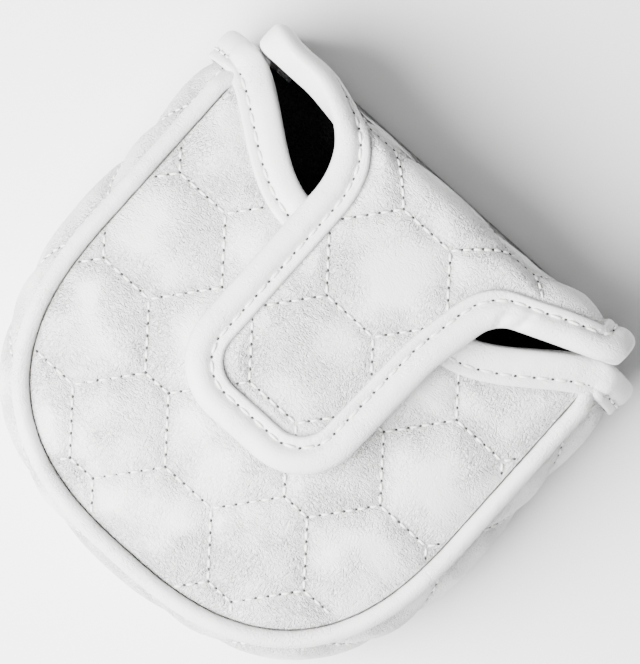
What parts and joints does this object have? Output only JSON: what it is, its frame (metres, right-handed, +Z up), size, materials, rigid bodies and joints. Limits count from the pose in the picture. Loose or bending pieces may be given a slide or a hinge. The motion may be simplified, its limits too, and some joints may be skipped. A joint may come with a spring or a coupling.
{
  "type": "putter head cover",
  "caption": "Quilted white leather cover for a mallet putter's head: D-shaped padded pocket with piped edges, and a hinged front panel whose tongue folds over the crown.",
  "frame": {"origin": "middle of the overall box, at the sole's underside, which is the surface the cover rests on", "axes": "+X towards the heel side, where the putter's neck comes out; -Y towards the putter's face; +Z up through the crown"},
  "size_m": [0.1188, 0.1134, 0.0502],
  "materials": {
    "quilted_leather": "satin white, fine crinkle grain",
    "binding_leather": "satin white, smooth",
    "padding_foam": "open-cell foam, hidden",
    "plush_lining": "short charcoal pile",
    "piping_cord": "twisted cotton, hidden",
    "magnet": "nickel plated, hidden"
  },
  "bodies": {
    "pocket": {"crown_leather": "quilted_leather", "crown_foam": "padding_foam", "crown_lining": "plush_lining", "crown_piping": "binding_leather", "crown_piping_cord": "piping_cord", "crown_magnet_heel": "magnet", "crown_magnet_toe": "magnet", "gusset_leather": "quilted_leather", "gusset_foam": "padding_foam", "gusset_lining": "plush_lining", "sole_leather": "quilted_leather", "sole_foam": "padding_foam", "sole_lining": "plush_lining", "sole_piping": "binding_leather", "sole_piping_cord": "piping_cord", "mouth_binding": "binding_leather"},
    "face_panel": {"face_leather": "quilted_leather", "face_foam": "padding_foam", "face_lining": "plush_lining", "face_binding_heel": "binding_leather", "face_binding_toe": "binding_leather"},
    "flap": {"flap_leather": "quilted_leather", "flap_foam": "padding_foam", "flap_lining": "plush_lining", "flap_binding": "binding_leather", "flap_magnet_heel": "magnet", "flap_magnet_toe": "magnet"}
  },
  "joints": [
    {"name": "face_panel_fold", "type": "hinge", "parent": "pocket", "child": "face_panel", "pos_m": [0, -0.0567, 0.00115], "axis": [1, 0, 0], "range_deg": [0, 85]},
    {"name": "flap_fold", "type": "hinge", "parent": "face_panel", "child": "flap", "pos_m": [0, -0.0567, 0.03827], "axis": [1, 0, 0], "range_deg": [0, 90]}
  ]
}
